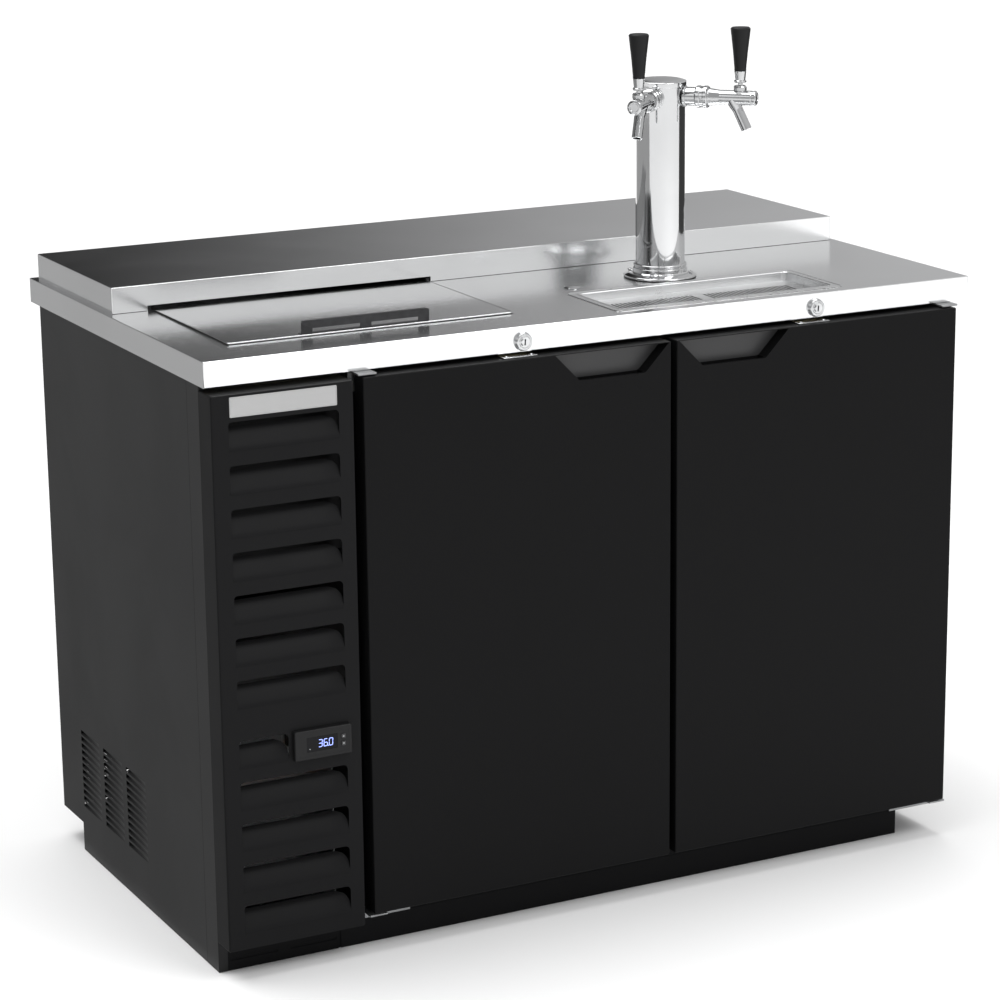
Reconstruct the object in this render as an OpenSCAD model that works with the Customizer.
// Two-door keg cooler with a sliding lid, a drip tray and a two-faucet draft tower.
// Millimetres, +Z up, doors on the -Y side, origin on the floor under the middle of the whole box.

/* [Counter] */
// Width of the stainless counter
counter_w = 1270; // [1200:10:1600]
// Depth of the counter, front to back
counter_d = 720; // [680:10:900]
// Height of the counter surface above the floor
counter_h = 905; // [800:5:1100]
// Height of the apron that hangs down round the counter
apron_h = 37.5; // [34:0.5:50]
// Thickness of the stainless sheet
sheet = 1.5; // [1:0.1:2]

/* [Cabinet] */
// How far the body front stands behind the counter's front edge
body_setback = 21; // [15:1:40]
// How far the counter overhangs the body at the back
rear_overhang = 43; // [30:1:60]
// How far the counter overhangs the body on the right
right_overhang = 35; // [10:1:60]
// Width of the machine bay on the left
bay_w = 223; // [215:1:260]
// Height of the base under the cold box
base_h = 40; // [38:1:60]
// Thickness of the insulated walls
wall_t = 50; // [40:1:60]
// Thickness of the steel skins
skin_t = 1; // [0.8:0.1:1.5]
// Width of the post between the doors
mullion_w = 48; // [44:1:60]
// Depth of the wall notch at the rear foot
notch_d = 90; // [60:5:120]
// Width of the front corner post
post_w = 45; // [35:1:60]

/* [Doors] */
// Thickness of a door without its gasket
door_t = 32; // [30:1:45]
// Depth of the gap that the gasket fills
gasket_t = 12; // [10:0.5:14]
// Gap between the two doors
door_gap = 10; // [6:1:14]
// Gap between a door and the apron above it
door_top_gap = 5; // [5:0.5:8]
// Height of the door bottom above the base
door_lift = 21; // [16:1:30]
// Diameter of the hinge pins
pin_d = 8; // [6:0.5:10]
// Radial running clearance round a hinge pin
pin_clear = 0.05; // [0.02:0.01:0.1]
// Width of a pull pocket at its top
pull_w = 189; // [150:1:200]
// Height of a pull pocket
pull_h = 41; // [34:1:50]
// Depth of a pull pocket
pull_d = 22; // [16:1:24]

/* [Ledge and lid] */
// Distance from the counter's front edge to the raised ledge
ledge_front = 377; // [370:1:420]
// Height of the raised ledge
ledge_h = 39.5; // [30:0.5:60]
// Setback of the ledge from the counter's ends
ledge_inset = 9.5; // [5:0.5:30]
// Width of the sliding lid
lid_w = 450; // [400:5:480]
// Thickness of the sliding lid
lid_t = 2; // [1.5:0.1:3]
// Distance from the counter's front edge to the lid's front edge
lid_front = 88; // [80:1:120]
// Distance from the counter's left end to the lid
lid_left = 72; // [70:1:100]
// Length of the lid handle
lid_handle_w = 201; // [150:1:240]
// Height of the lid handle above the lid
lid_handle_h = 19; // [16:1:26]

/* [Drip tray] */
// Width of the drip tray over its rim
tray_w = 395; // [360:5:420]
// Depth of the drip tray over its rim
tray_d = 159; // [140:1:165]
// Depth of the drip pan below the counter
tray_h = 19; // [17:1:24]
// Width of the rim that rests on the counter
tray_rim = 14; // [10:1:18]
// Distance from the counter's front edge to the tray rim
tray_front = 24; // [20:1:30]
// Middle of the tray and tower, to the right of the counter's middle
tower_x = 224; // [200:1:260]
// Slots in each half of the drip grid
grid_slots = 21; // [12:1:22]
// Pitch of the drip grid's slots
grid_pitch = 7.2; // [7:0.1:7.4]

/* [Tower] */
// Distance from the counter's front edge to the tower
tower_y = 241; // [241:1:290]
// Outer diameter of the tower column
column_d = 76.2; // [70:0.1:80]
// Wall of the tower column
column_wall = 1.6; // [1.2:0.1:2.5]
// Diameter of the tower's base flange
flange_d = 114.3; // [110:0.1:125]
// Height of the faucet axes above the counter
faucet_h = 280; // [240:1:360]
// Angle of each faucet to the side
faucet_angle = 45; // [40:1:60]
// Distance from the tower axis to a faucet's front end
faucet_reach = 152; // [150:1:175]
// Distance from the tower axis to a lever
lever_reach = 125; // [122:1:132]
// Length of a black tap handle
tap_h = 66; // [50:1:150]
// Diameter of a tap handle at its top
tap_top_d = 31; // [22:1:45]

/* [Locks and controls] */
// Left lock, to the left of the gap between the doors
lock_left = 239; // [220:1:300]
// Right lock, to the right of the gap between the doors
lock_right = 259; // [220:1:300]
// Diameter of a lock's face
lock_d = 28; // [24:1:30]
// Width of the controller bezel
bezel_w = 89; // [80:1:95]
// Height of the controller bezel
bezel_h = 44; // [40:1:48]
// Thickness of the controller bezel
bezel_t = 8; // [6:1:12]
// How far a control button stands out
button_h = 0.8; // [0.6:0.1:1.5]

/* [Grille] */
// Louvres above the controller
louvres_up = 7; // [3:1:7]
// Louvres level with the controller and below it
louvres_low = 5; // [3:1:5]
// Pitch of the louvres
louvre_pitch = 62; // [56:1:64]
// Height of one louvre
louvre_h = 41; // [30:1:46]
// Depth of one louvre
louvre_d = 17; // [10:1:20]

/* [Hidden] */
$fn = 64;
eps = 0.01;
run = 0.3;

// body box
cab_l = -counter_w / 2;
cab_r = counter_w / 2 - right_overhang;
cab_f = body_setback;
cab_b = counter_d - rear_overhang;
under = counter_h - apron_h;
cold_l = cab_l + bay_w;
frame_t = 3;
cold_f = cab_f + frame_t;
in_l = cold_l + wall_t;
in_r = cab_r - wall_t;
in_b = cab_b - wall_t;
in_z0 = base_h + wall_t;
in_z1 = under - wall_t;

// bottle well pod that the cold box carries over the machine bay
pod_l = cab_l + 32;
pod_f = cold_f + 27;
pod_b = cab_b - 37;
pod_z0 = under - 267.5;
pod_wall = 45;

// doors
door_l = cold_l + 6;
door_r = cab_r - 2;
mid_x = (door_l + door_r) / 2;
door_w = (door_r - door_l - door_gap) / 2;
door_f = cab_f - gasket_t - door_t;
door_b = cab_f - gasket_t;
door_z0 = base_h + door_lift;
door_z1 = under - door_top_gap;
hinge_x = 10;
hinge_y = door_f + door_t / 2;
door_skin_t = 1.2;
saw_cut = 0.2;
pull_mid = pull_w / 2 + 4;
pull_bottom_w = pull_w - 80;
pull_z0 = door_z1 - door_skin_t - pull_h;

// whole box in Y
bezel_f = door_f - bezel_t;
reach_f = bezel_f - button_h;
mid_y = (counter_d + reach_f) / 2;

// lid and ledge
lid_l = cab_l + lid_left;
lid_r = lid_l + lid_w;
flange_z = counter_h + 0.8;
lid_z = flange_z + 0.2;
lid_back = ledge_front + 23;
ledge_back = counter_d - 16;
well_l = lid_l + 15;
well_r = lid_r - 15;
well_f = lid_front + 19;
well_b = ledge_front - 9;
well_z0 = in_z1;
handle_l = lid_l + (lid_w - lid_handle_w) / 2 - 11;
slot_top = lid_z + lid_t + 5;

// tray and tower
tray_l = tower_x - tray_w / 2;
tray_r = tower_x + tray_w / 2;
tray_b = tray_front + tray_d;
pan_z = counter_h - tray_h;
drain_x = tray_l + 42;
drain_y = tray_b - 38;
cap_hole_x = tower_x - 166;
cap_hole_y = tower_y - 19;
gasket_z = 1.5;
flange_z1 = counter_h + gasket_z + 6;
faucet_z = counter_h + faucet_h;
column_top = faucet_z + 16;
line_r = 5;
line_x = 11;
line_hole_r = 28;

// faucet parts, measured from the tower axis or up from the faucet axis
shank_r = 14.3;
nut_r0 = 57;
nut_r1 = 76.5;
pivot_z = 14;
ball_r = 6.3;

// locks
lock_z = counter_h - 22;
cam_len = 25;
cam_y0 = door_b + 0.6;
cam_y1 = cam_y0 + 2.5;

// machine bay
bay_mid = (cab_l + cold_l) / 2;
deck_z = base_h + 3;
fan_z = deck_z + 152;
fan_r = 82;
coil_f = cab_f + 42;
coil_b = coil_f + 45;
evap_l = tower_x - 94;
evap_w = 340;
evap_f = in_b - 107;
evap_z0 = in_z1 - 157;
evap_z1 = in_z1 - 5;
evap_fan_x = evap_l + 90;
evap_fan_z = (evap_z0 + evap_z1) / 2;
line_y = in_b - 9;
suction_z = pod_z0 - 35;
liquid_z = pod_z0 - 60;

// grille
grille_l = cab_l;
grille_r = cold_l - 9;
grille_z0 = base_h + 6;
grille_z1 = under - 6.5;
louvre_l = grille_l + 25;
louvre_w = grille_r - 23 - louvre_l;
louvre_top = grille_z1 - 39;
bezel_x = grille_r - 63;
button_x = bezel_x + 31;
bezel_z = louvre_top - louvres_up * louvre_pitch - 47;
low_top = louvre_top - (louvres_up - 1) * louvre_pitch - 89;

// ---------- shared helpers ----------

module set_down() translate([0, -mid_y, 0]) children();

module box(x, y, z) translate([x[0], y[0], z[0]]) cube([x[1] - x[0], y[1] - y[0], z[1] - z[0]]);

// round bar between two heights
module post(x, y, r, z) translate([x, y, z[0]]) cylinder(r = r, h = z[1] - z[0]);

// round bar along Y between two depths
module bar_y(x, z, r, y) translate([x, y[1], z]) rotate([90, 0, 0]) cylinder(r = r, h = y[1] - y[0]);

// round bar along X between two sides
module bar_x(y, z, r, x) translate([x[0], y, z]) rotate([0, 90, 0]) cylinder(r = r, h = x[1] - x[0]);

// outline in Y and Z drawn out along X
module along_x(x, points) translate([x[0], 0, 0]) rotate([90, 0, 90]) linear_extrude(x[1] - x[0]) polygon(points);

// outline in X and Z drawn out along Y
module along_y(y, points) translate([0, y[1], 0]) rotate([90, 0, 0]) linear_extrude(y[1] - y[0]) polygon(points);

// place in a faucet's own frame: the faucet points along -Y, zero at the tower axis
module at_faucet(side) translate([tower_x, tower_y, faucet_z]) rotate([0, 0, side * faucet_angle]) children();

module out_along(r, radius, radius_end) translate([0, -r[0], 0]) rotate([90, 0, 0])
    cylinder(r1 = radius, r2 = radius_end, h = r[1] - r[0]);

// place in a door's own frame: x runs from the hinge edge to the free edge
module at_door(side) {
    if (side < 0) translate([door_l, 0, 0]) children();
    else translate([door_r, 0, 0]) mirror([1, 0, 0]) children();
}

// ---------- cold box ----------

module cold_outer(inset, front) {
    box([cold_l + inset, cab_r - inset], [front, cab_b - inset], [base_h + inset, under - inset]);
    box([pod_l + inset, cold_l + 20], [pod_f + inset, pod_b - inset], [pod_z0 + inset, under - inset]);
}

module cavity(grow, front) {
    box([in_l - grow, in_r + grow], [front, in_b + grow], [in_z0 - grow, in_z1 + grow]);
    box([pod_l + pod_wall - grow, in_l + 20], [pod_f + pod_wall - grow, pod_b - pod_wall + grow],
        [pod_z0 + 50 - grow, in_z1 + grow]);
}

// everything that passes through the top, the back and the bay side of the cold box
module service_holes() {
    box([well_l, well_r], [well_f, well_b], [in_z1 - 5, counter_h - sheet]);
    post(tower_x, tower_y, line_hole_r, [in_z1 - 5, counter_h - sheet]);
    post(drain_x, drain_y, 13.3, [in_z1 - 5, counter_h - sheet]);
    bar_y(drain_x, in_z0 + 32, 13.3, [in_b - 5, cab_b + 5]);
    for (z = [suction_z, liquid_z]) bar_x(line_y, z, 8, [cold_l - 5, in_l + 5]);
}

module cabinet_skin() color("#1c1c1e") set_down() difference() {
    cold_outer(0, cold_f);
    cold_outer(skin_t, cold_f - 1);
    service_holes();
}

module cabinet_foam() color("#d9cfa3") set_down() difference() {
    cold_outer(skin_t, cold_f);
    cavity(skin_t, cold_f - 1);
    service_holes();
}

module cabinet_liner() color("#c3c6c8") set_down() difference() {
    cavity(skin_t, cold_f);
    cavity(0, cold_f - 1);
    service_holes();
}

module front_frame() color("#222224") set_down() difference() {
    union() {
        box([cold_l, cab_r], [cab_f, cold_f], [base_h, under]);
        box([mid_x - mullion_w / 2, mid_x + mullion_w / 2], [cab_f, cab_f + 40], [in_z0, in_z1]);
    }
    box([in_l, mid_x - mullion_w / 2], [cab_f - 1, cab_f + 50], [in_z0, in_z1]);
    box([mid_x + mullion_w / 2, in_r], [cab_f - 1, cab_f + 50], [in_z0, in_z1]);
}

// ---------- outer panels and base ----------

module vent_slots() {
    for (column = [0 : 2]) for (row = [0 : 11])
        box([cab_l - 1, cab_l + 5], [cab_b - 99 - column * 100 - 83, cab_b - 99 - column * 100],
            [base_h + 37 + row * 11, base_h + 42 + row * 11]);
}

module side_panel() color("#3b3b3d") set_down() difference() {
    box([cab_l, cab_l + skin_t], [cab_f + post_w, cab_b], [0, under]);
    box([cab_l - 1, cab_l + 5], [cab_b - notch_d, cab_b + 1], [-1, base_h + 6]);
    vent_slots();
}

module corner_post() color("#353537") set_down() difference() {
    box([cab_l, cab_l + 14], [cab_f, cab_f + post_w - 0.6], [0, under]);
    box([cab_l + skin_t, cab_l + 15], [cab_f + skin_t, cab_f + post_w], [-1, under + 1]);
}

module base_frame() color("#262628") set_down() {
    x0 = cab_l + skin_t;
    x1 = cab_r - 66;
    y0 = cab_f + skin_t + 0.2;
    y1 = cab_b - notch_d;
    difference() {
        box([x0, x1], [y0, y1], [0, base_h]);
        box([x0 + 30, cold_l - 16], [y0 + 30, y1 - 30], [-1, base_h + 1]);
        box([cold_l + 16, mid_x - 15], [y0 + 30, y1 - 30], [-1, base_h + 1]);
        box([mid_x + 15, x1 - 30], [y0 + 30, y1 - 30], [-1, base_h + 1]);
        box([x0 - 1, x0 + 14], [y0 - 1, y0 + post_w - 1], [-1, base_h + 1]);
    }
    box([x0 + 14, cold_l], [y0 + post_w, cab_b - 2], [base_h, deck_z]);
}

module kick_plates() color("#202022") set_down() {
    seam = cold_l - 34;
    difference() {
        box([cab_l + 14.3, seam], [cab_f, cab_f + skin_t], [0, base_h + 4]);
        box([cab_l + 19, cab_l + 92], [cab_f - 1, cab_f + 5], [15, 19]);
        box([cab_l + 113, seam - 3], [cab_f - 1, cab_f + 5], [15, 19]);
    }
    box([seam + 4, cab_r - 64], [cab_f, cab_f + skin_t], [0, base_h]);
}

module rear_panel() color("#3b3b3d") set_down() difference() {
    box([cab_l + skin_t, cold_l], [cab_b - skin_t, cab_b], [base_h + 6, under]);
    for (row = [0 : 19]) box([bay_mid - 70, bay_mid + 70], [cab_b - 5, cab_b + 1],
        [deck_z + 40 + row * 12, deck_z + 45 + row * 12]);
    bar_y(cold_l - 40, deck_z + 330, 10, [cab_b - 5, cab_b + 1]);
}

// ---------- counter ----------

module counter_top() color("#c9ccce") set_down() difference() {
    box([-counter_w / 2, counter_w / 2], [0, counter_d], [under, counter_h]);
    box([-counter_w / 2 + sheet, counter_w / 2 - sheet], [sheet, counter_d - sheet], [under - 1, counter_h - sheet]);
    box([well_l, well_r], [well_f, well_b], [under, counter_h + 1]);
    box([tray_l + tray_rim - 2, tray_r - tray_rim + 2], [tray_front + tray_rim - 2, tray_b - tray_rim + 2],
        [under, counter_h + 1]);
    post(tower_x, tower_y, line_hole_r, [under, counter_h + 1]);
    post(cap_hole_x, cap_hole_y, 10, [under, counter_h + 1]);
    for (a = [45 : 90 : 315]) translate([tower_x, tower_y, 0]) rotate([0, 0, a])
        post(48.5, 0, 2.2, [under, counter_h + 1]);
    for (x = [mid_x - lock_left, mid_x + lock_right]) bar_y(x, lock_z, 10.2, [-1, 5]);
}

// foam boards that fill the counter out to its aprons, with a pocket round each lock's cam
module counter_core() color("#cdbf94") set_down() difference() {
    box([-counter_w / 2 + sheet, counter_w / 2 - sheet], [sheet, counter_d - sheet], [under, counter_h - sheet]);
    for (x = [mid_x - lock_left, mid_x + lock_right]) box([x - cam_len - 5, x + 13], [0, 17], [under - 1, lock_z + 14]);
    service_holes();
    box([tray_l + tray_rim - 3, tray_r - tray_rim + 3], [tray_front + tray_rim - 3, tray_b - tray_rim + 3],
        [pan_z - 6, counter_h]);
    post(cap_hole_x, cap_hole_y, 12, [counter_h - 30, counter_h]);
    for (a = [45 : 90 : 315]) translate([tower_x, tower_y, 0]) rotate([0, 0, a])
        post(48.5, 0, 2.2, [counter_h - 25, counter_h]);
    // saw cuts between the boards
    for (x = [well_l, well_r, tray_l + tray_rim - 3, tray_r - tray_rim + 3])
        box([x - saw_cut / 2, x + saw_cut / 2], [0, counter_d], [under - 1, counter_h]);
    for (y = [tray_front + tray_rim - 3, tray_b - tray_rim + 3])
        box([tray_l + tray_rim - 3, tray_r - tray_rim + 3], [y - saw_cut / 2, y + saw_cut / 2], [under - 1, counter_h]);
}

module rear_ledge() color("#bfc2c4") set_down() difference() {
    x = counter_w / 2 - ledge_inset;
    box([-x, x], [ledge_front, ledge_back], [counter_h, counter_h + ledge_h]);
    box([-x + sheet, x - sheet], [ledge_front + sheet, ledge_back - sheet],
        [counter_h - 1, counter_h + ledge_h - sheet]);
    box([lid_l - 7, lid_r + 7], [ledge_front - 1, ledge_front + 5], [counter_h - 1, slot_top]);
}

// sleeve that lines the bottle well, with the flange and side guides that the lid runs on
module lid_well() color("#2a2a2c") set_down() {
    difference() {
        union() {
            box([well_l, well_r], [well_f, well_b], [well_z0, counter_h]);
            box([lid_l + 1, lid_r - 1], [lid_front + 2, ledge_front], [counter_h, flange_z]);
            box([lid_l - 6, lid_r + 6], [ledge_front, ledge_back - sheet], [counter_h, flange_z]);
            for (x = [lid_l - 6, lid_r + 0.6]) box([x, x + 5.4], [ledge_front + 3, ledge_back - 14],
                [counter_h, lid_z + lid_t + 2]);
        }
        box([well_l + 3, well_r - 3], [well_f + 3, well_b - 3], [well_z0 - 1, flange_z + 1]);
    }
}

module lid_panel() color("#b9bcbe") set_down()
    box([lid_l, lid_r], [lid_front, lid_back], [lid_z, lid_z + lid_t]);

module lid_handle() color("#3f4143") set_down() {
    z0 = lid_z + lid_t;
    window_w = (lid_handle_w - 3 * 17) / 2;
    difference() {
        union() {
            box([handle_l, handle_l + lid_handle_w], [lid_front, lid_front + 2], [z0, z0 + lid_handle_h]);
            box([handle_l, handle_l + lid_handle_w], [lid_front, lid_front + 12], [z0, z0 + 1]);
            box([handle_l, handle_l + lid_handle_w], [lid_front, lid_front + 8],
                [z0 + lid_handle_h - 1.5, z0 + lid_handle_h]);
        }
        for (x = [17, 34 + window_w]) box([handle_l + x, handle_l + x + window_w],
            [lid_front - 1, lid_front + 3], [z0 + 1, z0 + 8]);
    }
}

// ---------- drip tray ----------

module drip_tray() color("#c4c7c9") set_down() difference() {
    union() {
        box([tray_l, tray_r], [tray_front, tray_b], [counter_h, counter_h + 1.2]);
        box([tray_l + tray_rim - 1.2, tray_r - tray_rim + 1.2], [tray_front + tray_rim - 1.2, tray_b - tray_rim + 1.2],
            [pan_z - 1.2, counter_h]);
        post(drain_x, drain_y, 9.9, [pan_z - 30, pan_z]);
    }
    box([tray_l + tray_rim, tray_r - tray_rim], [tray_front + tray_rim, tray_b - tray_rim], [pan_z, counter_h + 2]);
    post(drain_x, drain_y, 8, [pan_z - 31, pan_z + 1]);
}

module drip_grid() color("#a9acae") set_down() {
    x0 = tray_l + tray_rim + 0.6;
    x1 = tray_r - tray_rim - 0.6;
    y0 = tray_front + tray_rim + 0.6;
    y1 = tray_b - tray_rim - 0.6;
    group_w = (grid_slots - 1) * grid_pitch;
    difference() {
        box([x0, x1], [y0, y1], [pan_z + 6, pan_z + 7.2]);
        for (middle = [tower_x - 84, tower_x + 84]) for (k = [0 : grid_slots - 1])
            translate([middle - group_w / 2 + k * grid_pitch, 0, 0])
                box([-1.6, 1.6], [y0 + 38, y1 - 38], [pan_z + 5, pan_z + 8]);
    }
    for (x = [x0, x1 - 2]) for (y = [y0 + 10, y1 - 20])
        box([x, x + 2], [y, y + 10], [pan_z, pan_z + 6]);
}

// straight and bent lengths of hose
module hose_ring(r, ri) difference() {
    circle(r = r);
    circle(r = ri);
}

module hose(r, ri, length) linear_extrude(length) hose_ring(r, ri);

module elbow(r, ri, bend, turn) rotate([turn, 0, 0]) rotate([90, 0, 90])
    rotate_extrude(angle = 90) translate([bend, 0]) hose_ring(r, ri);

// hose from the tray spout along the ceiling, down the back wall and out behind
module drain_tube() color("#9aa0a3") set_down() {
    r = 13;
    ri = 9.95;
    bend = 20;
    z_top = in_z1 - 30;
    y_back = in_b - 30;
    z_out = in_z0 + 32;
    translate([drain_x, drain_y, z_top + bend]) hose(r, ri, pan_z - 3 - z_top - bend);
    translate([drain_x, drain_y + bend, z_top + bend]) elbow(r, ri, bend, 180);
    translate([drain_x, y_back - bend, z_top]) rotate([90, 0, 0]) hose(r, ri, y_back - drain_y - 2 * bend);
    translate([drain_x, y_back - bend, z_top - bend]) elbow(r, ri, bend, 0);
    translate([drain_x, y_back, z_out + bend]) hose(r, ri, z_top - z_out - 2 * bend);
    translate([drain_x, y_back + bend, z_out + bend]) elbow(r, ri, bend, 180);
    translate([drain_x, cab_b + 3, z_out]) rotate([90, 0, 0]) hose(r, ri, cab_b + 3 - y_back - bend);
    translate([drain_x, counter_d - 5, z_out]) rotate([90, 0, 0]) hose(r - 1, ri, counter_d - 5 - cab_b - 3);
}

module deck_cap() color("#d4d6d8") set_down() {
    post(cap_hole_x, cap_hole_y, 13, [counter_h, counter_h + 3]);
    post(cap_hole_x, cap_hole_y, 9.6, [counter_h - 12, counter_h]);
}

// ---------- tower ----------

module tower_gasket() color("#18181a") set_down() difference() {
    post(tower_x, tower_y, flange_d / 2 - 1, [counter_h, counter_h + gasket_z]);
    post(tower_x, tower_y, line_hole_r, [counter_h - 1, counter_h + 5]);
    tower_screw_holes();
}

module tower_screw_holes() translate([tower_x, tower_y, 0])
    for (a = [45 : 90 : 315]) rotate([0, 0, a]) post(48.5, 0, 2.2, [counter_h - 1, counter_h + 20]);

module tower_flange() color("#d0d2d4") set_down() difference() {
    union() {
        post(tower_x, tower_y, flange_d / 2, [counter_h + gasket_z, flange_z1]);
        post(tower_x, tower_y, column_d / 2 + 4, [flange_z1, flange_z1 + 14]);
    }
    post(tower_x, tower_y, column_d / 2 + 0.05, [counter_h, flange_z1 + 15]);
    tower_screw_holes();
}

module tower_screws() color("#b0b3b5") set_down() translate([tower_x, tower_y, 0])
    for (a = [45 : 90 : 315]) rotate([0, 0, a]) {
        post(48.5, 0, 3.9, [flange_z1, flange_z1 + 2.5]);
        post(48.5, 0, 2.1, [counter_h - 22, flange_z1]);
    }

module tower_column() color("#d8dadc") set_down() difference() {
    post(tower_x, tower_y, column_d / 2, [counter_h + gasket_z, column_top]);
    post(tower_x, tower_y, column_d / 2 - column_wall, [counter_h, column_top + 1]);
    for (side = [-1, 1]) at_faucet(side) out_along([10, 60], 11.2, 11.2);
}

module tower_cap() color("#a8abad") set_down() translate([tower_x, tower_y, 0]) difference() {
    rotate_extrude() polygon([[0, column_top - 1], [column_d / 2 + 1.8, column_top - 1],
        [column_d / 2 + 1.8, column_top + 7], [column_d / 2, column_top + 9], [column_d / 4, column_top + 10.4],
        [0, column_top + 11]]);
    post(0, 0, column_d / 2 + 0.05, [column_top - 2, column_top]);
}

// ---------- faucets ----------

module shank(side) at_faucet(side) difference() {
    union() {
        difference() {
            out_along([30, nut_r0], shank_r, shank_r);
            translate([0, 0, -50]) cylinder(r = column_d / 2, h = 100);
        }
        out_along([20, column_d / 2 + 2], 11, 11);
        intersection() {
            out_along([31, 37], 12.5, 12.5);
            translate([0, 0, -50]) cylinder(r = column_d / 2 - column_wall, h = 100);
        }
        out_along([26, 32], 13.5, 13.5);
    }
    out_along([19, nut_r0 + 1], 4, 4);
}

module shanks() color("#c6c8ca") set_down() {
    shank(-1);
    shank(1);
}

// nut that holds a faucet on its shank, and the bonnet that holds the lever's ball
module faucet_nut_pair(side) at_faucet(side) {
    difference() {
        union() {
            out_along([nut_r0, nut_r0 + 2], 15.6, 17);
            out_along([nut_r0 + 2, nut_r1 - 2], 17, 17);
            out_along([nut_r1 - 2, nut_r1], 17, 15.6);
        }
        out_along([nut_r0 - 1, nut_r1 + 1], 14.1, 14.1);
        for (a = [0 : 120 : 240]) rotate([0, a + 60, 0]) translate([0, -(nut_r0 + nut_r1) / 2, 10])
            cylinder(r = 2.2, h = 10);
    }
    translate([0, -lever_reach, 0]) difference() {
        union() {
            translate([0, 0, pivot_z - 2.6]) cylinder(r = 10, h = 5.1);
            translate([0, 0, pivot_z + 2.5]) cylinder(r1 = 10, r2 = 8.5, h = 2.5);
        }
        translate([0, 0, pivot_z - 5]) cylinder(r = 8.6, h = 4.5);
        translate([0, 0, pivot_z]) sphere(r = ball_r + 0.08);
        translate([0, 0, pivot_z - 1]) cylinder(r = 5, h = 4);
        translate([0, 0, pivot_z + 2.6]) cylinder(r1 = 5.8, r2 = 7.2, h = 2.5);
    }
}

module faucet_nuts() color("#c0c2c4") set_down() {
    faucet_nut_pair(-1);
    faucet_nut_pair(1);
}

module faucet_body(side) color("#d2d4d6") set_down() at_faucet(side) difference() {
    union() {
        out_along([nut_r0, nut_r1 + 1], 14, 14);
        out_along([nut_r1 + 1, nut_r1 + 17], 13.6, 11.3);
        out_along([nut_r1 + 17, faucet_reach - 8], 11.3, 11.3);
        out_along([faucet_reach - 8, faucet_reach], 11.3, 9.8);
        translate([0, -lever_reach, 0]) cylinder(r = 8.5, h = pivot_z - 0.6);
        spout(8.2, 0, 53);
    }
    out_along([nut_r0 - 1, faucet_reach - 12], 6, 6);
    translate([0, -lever_reach, pivot_z]) sphere(r = ball_r + 0.08);
    translate([-3.2, -lever_reach - 7.4, 0]) cube([6.4, 14.8, pivot_z]);
    spout(6, 3, 56);
}

// spout, leaning forward on its way down
module spout(r, start, end) translate([0, -lever_reach + 12, 0]) rotate([154.5, 0, 0])
    translate([0, 0, start]) cylinder(r = r, h = end - start);

module faucet_body_left() faucet_body(-1);
module faucet_body_right() faucet_body(1);

module lever(side) color("#dcdee0") set_down() at_faucet(side) translate([0, -lever_reach, 0]) {
    translate([0, 0, 3]) cylinder(r = 2.5, h = pivot_z);
    translate([0, 0, pivot_z]) sphere(r = ball_r);
    translate([0, 0, pivot_z + 4]) cylinder(r = 3.5, h = 6);
    translate([0, 0, pivot_z + 9.3]) cylinder(r = 9.4, h = 3.7);
    translate([0, 0, pivot_z + 12]) cylinder(r1 = 7.8, r2 = 9.2, h = 15);
    translate([0, 0, pivot_z + 26]) cylinder(r = 4.7, h = 16);
}

module lever_left() lever(-1);
module lever_right() lever(1);

module tap_handle(side) color("#1d1d1f") set_down() at_faucet(side) translate([0, -lever_reach, pivot_z + 27])
    difference() {
        union() {
            cylinder(r1 = 9.2, r2 = tap_top_d / 2, h = tap_h - 2.5);
            translate([0, 0, tap_h - 2.5]) cylinder(r1 = tap_top_d / 2, r2 = tap_top_d / 2 - 2.5, h = 2.5);
        }
        translate([0, 0, -1]) cylinder(r = 4.75, h = 17);
    }

module tap_handle_left() tap_handle(-1);
module tap_handle_right() tap_handle(1);

// beer lines from the shank tails down the column to a holder plate under the ceiling
module beer_lines() color("#e6e2d4") set_down() {
    bend = 9;
    for (side = [-1, 1]) at_faucet(side) {
        drop = faucet_z - in_z1 + (side < 0 ? 28 : 52);
        translate([0, -line_x - bend, -bend]) rotate([90, 0, 90])
            rotate_extrude(angle = 90) translate([bend, 0]) circle(r = line_r);
        translate([0, -line_x, -drop]) cylinder(r = line_r, h = drop - bend);
        translate([0, -line_x, -drop - 16]) cylinder(r = 8.5, h = 16, $fn = 6);
    }
    difference() {
        post(tower_x, tower_y, 36, [in_z1 - 3, in_z1]);
        for (side = [-1, 1]) at_faucet(side) translate([0, -line_x, -faucet_h - 120])
            cylinder(r = line_r - 0.5, h = faucet_h);
    }
}

// ---------- doors ----------

module pull_shape(grow, y) along_y(y, [
    [door_w - pull_mid - pull_w / 2 - grow, door_z1 - door_skin_t + grow],
    [door_w - pull_mid + pull_w / 2 + grow, door_z1 - door_skin_t + grow],
    [door_w - pull_mid + pull_bottom_w / 2 + grow, pull_z0 - grow],
    [door_w - pull_mid - pull_bottom_w / 2 - grow, pull_z0 - grow]]);

// room behind the pocket's lower lip for the fingertips
module pull_undercut(grow) box([door_w - pull_mid - pull_bottom_w / 2 - grow, door_w - pull_mid + pull_bottom_w / 2 + grow],
    [door_f + 5 - grow, door_f + pull_d + grow], [pull_z0 - 14 - grow, pull_z0 + 1]);

module pin_bores() {
    post(hinge_x, hinge_y, pin_d / 2 + pin_clear, [door_z0 - 1, door_z0 + 18]);
    post(hinge_x, hinge_y, pin_d / 2 + pin_clear, [door_z1 - 18, door_z1 + 1]);
}

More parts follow.
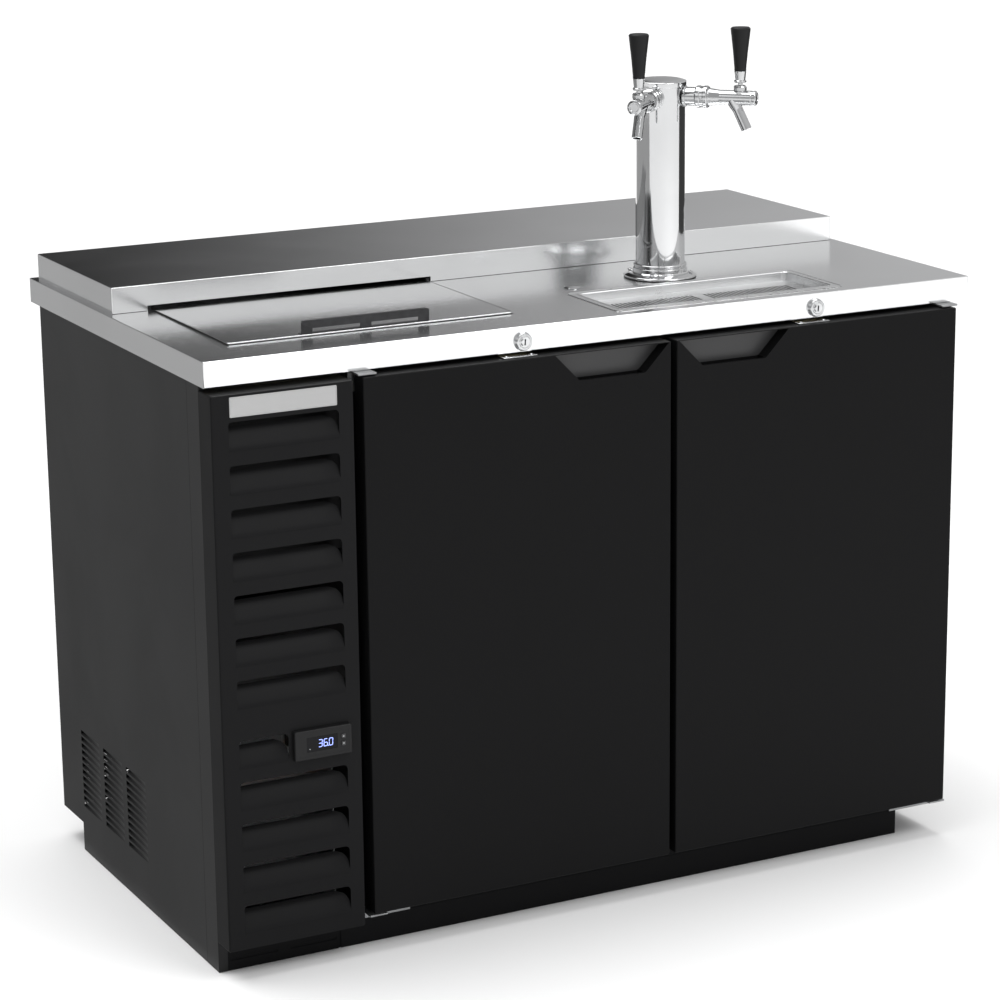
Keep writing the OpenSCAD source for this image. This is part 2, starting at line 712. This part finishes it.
module door_skin(side) color("#161617") set_down() at_door(side) difference() {
    union() {
        difference() {
            box([0, door_w], [door_f, door_b], [door_z0, door_z1]);
            box([door_skin_t, door_w - door_skin_t], [door_f + door_skin_t, door_b + 1],
                [door_z0 + door_skin_t, door_z1 - door_skin_t]);
        }
        intersection() {
            box([0, door_w], [door_f, door_b], [door_z0, door_z1]);
            union() {
                pull_shape(door_skin_t, [door_f, door_f + pull_d + door_skin_t]);
                pull_undercut(door_skin_t);
            }
        }
    }
    pull_shape(0, [door_f - 1, door_f + pull_d]);
    pull_undercut(0);
    pin_bores();
}

module door_skin_left() door_skin(-1);
module door_skin_right() door_skin(1);

// foamed inner panel, with the raised dish that enters the cold box
module door_liner(side) color("#d6d8d9") set_down() at_door(side) difference() {
    union() {
        box([door_skin_t, door_w - door_skin_t], [door_f + door_skin_t, door_b],
            [door_z0 + door_skin_t, door_z1 - door_skin_t]);
        box([62, door_w - 50], [door_b, door_b + 16], [in_z0 + 22, in_z1 - 22]);
    }
    intersection() {
        box([0, door_w], [door_f, door_b], [door_z0, door_z1]);
        union() {
            pull_shape(door_skin_t, [door_f - 1, door_f + pull_d + door_skin_t]);
            pull_undercut(door_skin_t);
        }
    }
    pin_bores();
}

module door_liner_left() door_liner(-1);
module door_liner_right() door_liner(1);

module door_gasket(side) color("#232325") set_down() at_door(side) {
    y = [door_b, cab_f - run];
    w = 14;
    difference() {
        box([hinge_x + 2, door_w - 2], y, [door_z0 + 12, door_z1 - 12]);
        box([hinge_x + 2 + w, door_w - 2 - w], [y[0] - 1, y[1] + 1], [door_z0 + 12 + w, door_z1 - 12 - w]);
    }
}

module door_gasket_left() door_gasket(-1);
module door_gasket_right() door_gasket(1);

// plate on a door's top edge whose slot takes the lock's cam
module strike(lock_x) color("#b6b9bb") set_down() difference() {
    box([lock_x - 37, lock_x + 17], [door_f + 9, cam_y1 + 4], [door_z1, door_z1 + 2]);
    box([lock_x - cam_len - 3, lock_x + 7], [door_b + 0.2, cam_y1 + 0.5], [door_z1 - 1, door_z1 + 3]);
}

module strike_left() strike(mid_x - lock_left);
module strike_right() strike(mid_x + lock_right);

module hinge_set() {
    z_top = [door_z1 + door_top_gap - 3.2, door_z1 + door_top_gap - 0.2];
    z_low = [door_z0 - 6, door_z0 - 3];
    box([-5, 23], [door_f + 5, cab_f], z_top);
    box([-5, hinge_x - 2], [cab_f - 3, cab_f], [door_z1 - 28, z_top[1]]);
    post(hinge_x, hinge_y, pin_d / 2, [door_z1 - 16, z_top[1]]);
    box([-5, 23], [door_f + 5, cab_f], z_low);
    box([-5, 76], [cab_f - 3, cab_f], [base_h, z_low[1]]);
    post(hinge_x, hinge_y, pin_d / 2, [z_low[0], door_z0 + 16]);
    post(hinge_x, hinge_y, pin_d, [z_low[1], door_z0 - 0.2]);
}

module hinge_brackets() color("#a5a8aa") set_down() for (side = [-1, 1]) at_door(side) hinge_set();

// ---------- locks ----------

module lock_barrels() color("#c3c5c7") set_down() for (x = [mid_x - lock_left, mid_x + lock_right]) difference() {
    union() {
        bar_y(x, lock_z, lock_d / 2, [-8, 0]);
        bar_y(x, lock_z, 10, [0, cam_y0 - 0.4]);
    }
    bar_y(x, lock_z, 7.05, [-9, cam_y0]);
}

module lock_plug(x) color("#d6d8da") set_down() {
    difference() {
        union() {
            bar_y(x, lock_z, 7, [-8.5, cam_y1]);
            box([x - cam_len, x], [cam_y0, cam_y1], [lock_z - 5, lock_z + 5]);
        }
        box([x - 1.2, x + 1.2], [-9, -2], [lock_z - 4.5, lock_z + 4.5]);
    }
}

module lock_plug_left() lock_plug(mid_x - lock_left);
module lock_plug_right() lock_plug(mid_x + lock_right);

// ---------- grille and controller ----------

module louvre_void(x, top) along_x(x, [[door_f - 1, top - louvre_h], [door_f - 1, top], [door_f + louvre_d, top],
    [door_f, top - louvre_h]]);

module louvre_scoop(x, top) difference() {
    along_x([x[0] - 1.2, x[1] + 1.2], [[door_f, top - louvre_h - 3], [door_f, top], [door_f + louvre_d + 1.4, top],
        [door_f + 1.4, top - louvre_h]]);
    louvre_void(x, top + eps);
}

module louvre_row(action) {
    for (k = [0 : louvres_up - 1]) louvre_pick(action, [louvre_l, louvre_l + louvre_w], louvre_top - k * louvre_pitch);
    louvre_pick(action, [louvre_l, bezel_x - bezel_w / 2 - 6], low_top);
    for (k = [1 : louvres_low - 1]) louvre_pick(action, [louvre_l, louvre_l + louvre_w], low_top - k * louvre_pitch);
}

module louvre_pick(action, x, top) {
    if (action == "cut") louvre_void(x, top);
    else louvre_scoop(x, top);
}

module grille_panel() color("#222223") set_down() difference() {
    union() {
        difference() {
            box([grille_l, grille_r], [door_f, cab_f], [grille_z0, grille_z1]);
            box([grille_l + 1.2, grille_r - 1.2], [door_f + 1.2, cab_f + 1], [grille_z0 + 1.2, grille_z1 - 1.2]);
        }
        louvre_row("add");
    }
    louvre_row("cut");
    box([bezel_x - 36, bezel_x + 36], [door_f - 1, door_f + 5], [bezel_z - 15, bezel_z + 15]);
}

module name_plate() color("#c9cbcd") set_down()
    box([louvre_l + 2, louvre_l + 163], [door_f - 1.5, door_f], [grille_z1 - 32.5, grille_z1 - 4]);

module controller_bezel() color("#141415") set_down() difference() {
    union() {
        box([bezel_x - bezel_w / 2, bezel_x + bezel_w / 2], [bezel_f, door_f], [bezel_z - bezel_h / 2, bezel_z + bezel_h / 2]);
        box([bezel_x - 35.5, bezel_x + 35.5], [door_f, door_f + 52], [bezel_z - 14.5, bezel_z + 14.5]);
    }
    box([bezel_x - 26, bezel_x + 22], [bezel_f - 1, bezel_f + 2], [bezel_z - 11, bezel_z + 11]);
    for (z = [-5.5, 5.5]) box([button_x - 3.2, button_x + 3.2], [bezel_f - 1, bezel_f + 5], [bezel_z + z - 3.2, bezel_z + z + 3.2]);
}

module controller_display() color("#0b0b0e") set_down()
    box([bezel_x - 26, bezel_x + 22], [bezel_f, bezel_f + 2], [bezel_z - 11, bezel_z + 11]);

module button(z) color("#2c2c2f") set_down()
    box([button_x - 3, button_x + 3], [bezel_f - button_h, bezel_f + 4], [bezel_z + z - 3, bezel_z + z + 3]);

module button_up() button(5.5);
module button_down() button(-5.5);

// ---------- cooling system ----------

module compressor() color("#1a1a1c") set_down() {
    y = coil_b + 330;
    translate([bay_mid, y, deck_z]) {
        translate([0, 0, 8]) difference() {
            translate([-95, -70, 0]) cube([190, 140, 3]);
            for (x = [-80, 80]) for (v = [-55, 55]) translate([x, v, -1]) cylinder(r = 4, h = 5);
        }
        translate([0, 0, 11]) cylinder(r = 74, h = 95);
        translate([0, 0, 106]) cylinder(r1 = 78, r2 = 78, h = 8);
        translate([0, 0, 114]) rotate_extrude() intersection() {
            scale([1, 0.75]) circle(r = 74);
            square([80, 80]);
        }
        for (x = [-80, 80]) for (v = [-55, 55]) translate([x, v, 0]) {
            cylinder(r = 11, h = 8);
            cylinder(r = 3.9, h = 16);
        }
        translate([-88, -28, 50]) cube([20, 56, 45]);
    }
}

module finned_block(x, y, z, pitch) {
    for (tube = [z[0] + 15 : 25 : z[1] - 10]) bar_x((y[0] + y[1]) / 2, tube, 4.5, [x[0] - 6, x[1] + 6]);
    for (fin = [x[0] : pitch : x[1] - 1]) box([fin, fin + 0.8], y, z);
    for (side = [x[0] - 1.5, x[1]]) box([side, side + 1.5], y, z);
}

module coils() color("#b98a56") set_down() {
    finned_block([bay_mid - 92, bay_mid + 92], [coil_f, coil_b], [deck_z, deck_z + 290], 23);
    finned_block([evap_l + 175, evap_l + evap_w - 20], [evap_f + 20, in_b - 3], [evap_z0 + 12, evap_z1 - 12], 16);
}

module fan_shroud() color("#4a4c4e") set_down() {
    difference() {
        box([bay_mid - 98, bay_mid + 98], [coil_b, coil_b + 28], [deck_z, deck_z + 290]);
        box([bay_mid - 96, bay_mid + 96], [coil_b - 1, coil_b + 26], [deck_z + 2, deck_z + 288]);
        bar_y(bay_mid, fan_z, fan_r + 4, [coil_b, coil_b + 40]);
    }
    for (a = [45 : 90 : 315]) translate([bay_mid, 0, fan_z]) rotate([0, a, 0])
        box([26.2, fan_r + 12], [coil_b + 56, coil_b + 59], [-5, 5]);
    for (a = [45 : 90 : 315]) translate([bay_mid, 0, fan_z]) rotate([0, a, 0])
        box([fan_r + 5, fan_r + 12], [coil_b + 27, coil_b + 59], [-5, 5]);
}

// motors of both fans; each drives its fan on a plain shaft
module fan_motors() color("#2f3133") set_down() {
    bar_y(bay_mid, fan_z, 30, [coil_b + 59, coil_b + 105]);
    bar_y(bay_mid, fan_z, 26, [coil_b + 51, coil_b + 59]);
    bar_y(bay_mid, fan_z, 4, [coil_b + 30, coil_b + 51]);
    bar_y(evap_fan_x, evap_fan_z, 24, [evap_f + 48, in_b]);
    bar_y(evap_fan_x, evap_fan_z, 3, [evap_f + 22, evap_f + 48]);
}

module fan(x, z, r, hub, bore, y) translate([x, 0, z]) difference() {
    union() {
        bar_y(0, 0, hub, y);
        for (a = [0 : 72 : 288]) rotate([0, a, 0]) translate([hub - 2, (y[0] + y[1]) / 2, 0]) rotate([28, 0, 0])
            translate([0, -0.8, -r / 4]) cube([r - hub, 1.6, r / 2]);
    }
    bar_y(0, 0, bore, [y[0] - 1, y[1] + 1]);
}

module condenser_fan() color("#7d8083") set_down()
    fan(bay_mid, fan_z, fan_r - 6, 20, 4.05, [coil_b + 31, coil_b + 47]);

module evaporator_fan() color("#7d8083") set_down()
    fan(evap_fan_x, evap_fan_z, 50, 14, 3.05, [evap_f + 24, evap_f + 38]);

// suction and liquid lines, with the filter drier in the liquid line
module refrigerant_lines() color("#c07a48") set_down() {
    y_comp = coil_b + 330;
    x_coil = evap_l + 200;
    for (line = [[suction_z, 6, -20, 0], [liquid_z, 4, 15, 1]]) {
        z = line[0];
        r = line[1];
        x = bay_mid + line[2];
        y = line_y;
        bar_x(y, z, r, [x, x_coil + line[3] * 40]);
        translate([x, y, z]) sphere(r = r);
        post(x, y, r, [deck_z + 120, z]);
        translate([x, y, deck_z + 120]) sphere(r = r);
        bar_y(x, deck_z + 120, r, [y_comp + 60, y]);
        translate([x_coil + line[3] * 40, y, z]) sphere(r = r);
        post(x_coil + line[3] * 40, y, r, [z, evap_z0 + 11.8]);
    }
    post(bay_mid + 15, line_y, 14, [deck_z + 200, deck_z + 330]);
}

module evaporator_cover() color("#b4b7b9") set_down() difference() {
    box([evap_l, evap_l + evap_w], [evap_f, in_b], [evap_z0, evap_z1 + 5]);
    box([evap_l + 1.5, evap_l + evap_w - 1.5], [evap_f + 1.5, in_b + 1], [evap_z0 + 1.5, evap_z1 + 6]);
    bar_y(evap_fan_x, evap_fan_z, 56, [evap_f - 1, evap_f + 5]);
    for (row = [0 : 7]) box([evap_l + 190, evap_l + evap_w - 30], [evap_f - 1, evap_f + 5],
        [evap_z0 + 24 + row * 14, evap_z0 + 30 + row * 14]);
    box([evap_l + 185, evap_l + 260], [in_b - 20, in_b + 1], [evap_z0 - 1, evap_z0 + 3]);
}

module junction_box() color("#2b2c2e") set_down() difference() {
    union() {
        box([cold_l - 62, cold_l], [cab_b - 190, cab_b - 90], [deck_z + 290, deck_z + 370]);
        bar_y(cold_l - 40, deck_z + 330, 9.8, [cab_b - 91, cab_b + 6]);
    }
    bar_y(cold_l - 40, deck_z + 330, 5, [cab_b - 60, cab_b + 7]);
}

side_panel();
corner_post();
base_frame();
kick_plates();
cabinet_skin();
cabinet_foam();
cabinet_liner();
front_frame();
rear_panel();
counter_top();
counter_core();
rear_ledge();
lid_well();
lid_panel();
lid_handle();
drip_tray();
drip_grid();
drain_tube();
deck_cap();
tower_gasket();
tower_flange();
tower_screws();
tower_column();
tower_cap();
shanks();
faucet_nuts();
faucet_body_left();
faucet_body_right();
beer_lines();
lever_left();
lever_right();
tap_handle_left();
tap_handle_right();
door_skin_left();
door_skin_right();
door_liner_left();
door_liner_right();
door_gasket_left();
door_gasket_right();
strike_left();
strike_right();
hinge_brackets();
lock_barrels();
lock_plug_left();
lock_plug_right();
grille_panel();
name_plate();
controller_bezel();
controller_display();
button_up();
button_down();
compressor();
coils();
fan_shroud();
fan_motors();
condenser_fan();
evaporator_fan();
refrigerant_lines();
evaporator_cover();
junction_box();
